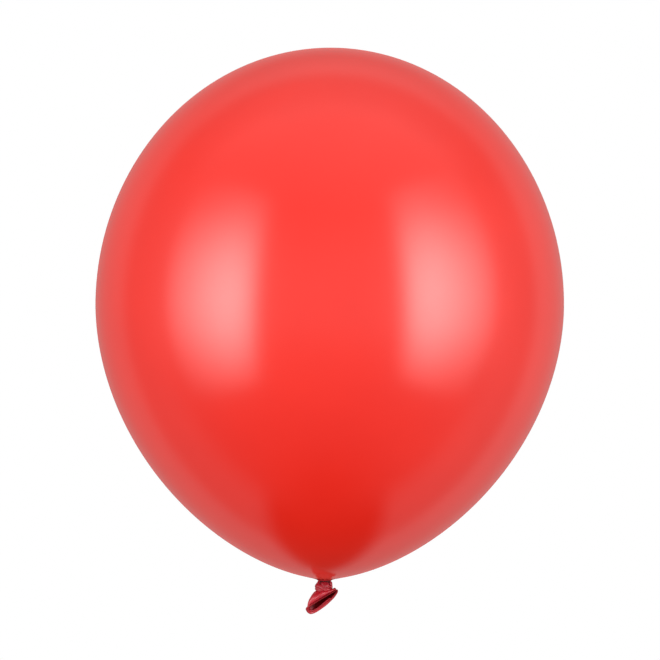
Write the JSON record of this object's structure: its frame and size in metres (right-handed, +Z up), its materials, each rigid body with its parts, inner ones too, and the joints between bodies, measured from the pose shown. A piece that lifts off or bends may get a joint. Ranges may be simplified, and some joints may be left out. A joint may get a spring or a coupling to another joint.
{
  "type": "latex balloon",
  "caption": "Inflated round latex party balloon with a pear-shaped taper, gathered throat, overhand knot and flared tail with a rolled lip.",
  "frame": {"origin": "centre of the throat, the waist between the inflated envelope and the knot", "axes": "+Z up the balloon's axis from the knot to the crown, -Y towards the side that the tail's mouth faces, +X towards the raised end of the mouth"},
  "size_m": [0.2999, 0.3, 0.3628],
  "materials": {
    "stretched_film": "glossy stretched latex",
    "gathered_film": "glossy gathered latex",
    "knot_latex": "satin unstretched latex",
    "tail_latex": "satin unstretched latex",
    "lip_latex": "satin rolled latex"
  },
  "bodies": {
    "root": {"envelope": "stretched_film", "neck_gather": "gathered_film"},
    "throat": {"throat_bunch": "gathered_film"},
    "knot": {"knot_core": "knot_latex", "knot_wrap": "knot_latex", "knot_tuck": "knot_latex"},
    "tail": {"tail_gather": "tail_latex", "tail_skirt": "tail_latex", "rolled_lip": "lip_latex"}
  },
  "joints": [
    {"name": "neck_twist", "type": "hinge", "parent": "root", "child": "throat", "pos_m": [0, 0, 0], "axis": [0, 0, 1], "range_deg": [-75, 75], "stiffness_Nm_per_rad": 0.0005},
    {"name": "knot_sway", "type": "hinge", "parent": "throat", "child": "knot", "pos_m": [0, 0, -0.0022], "axis": [0, 1, 0], "range_deg": [-15, 15], "stiffness_Nm_per_rad": 0.0005},
    {"name": "tail_flap", "type": "hinge", "parent": "knot", "child": "tail", "pos_m": [-0.0005, 0, -0.0049], "axis": [0.809, 0, 0.5878], "range_deg": [-30, 25], "stiffness_Nm_per_rad": 0.0003}
  ]
}
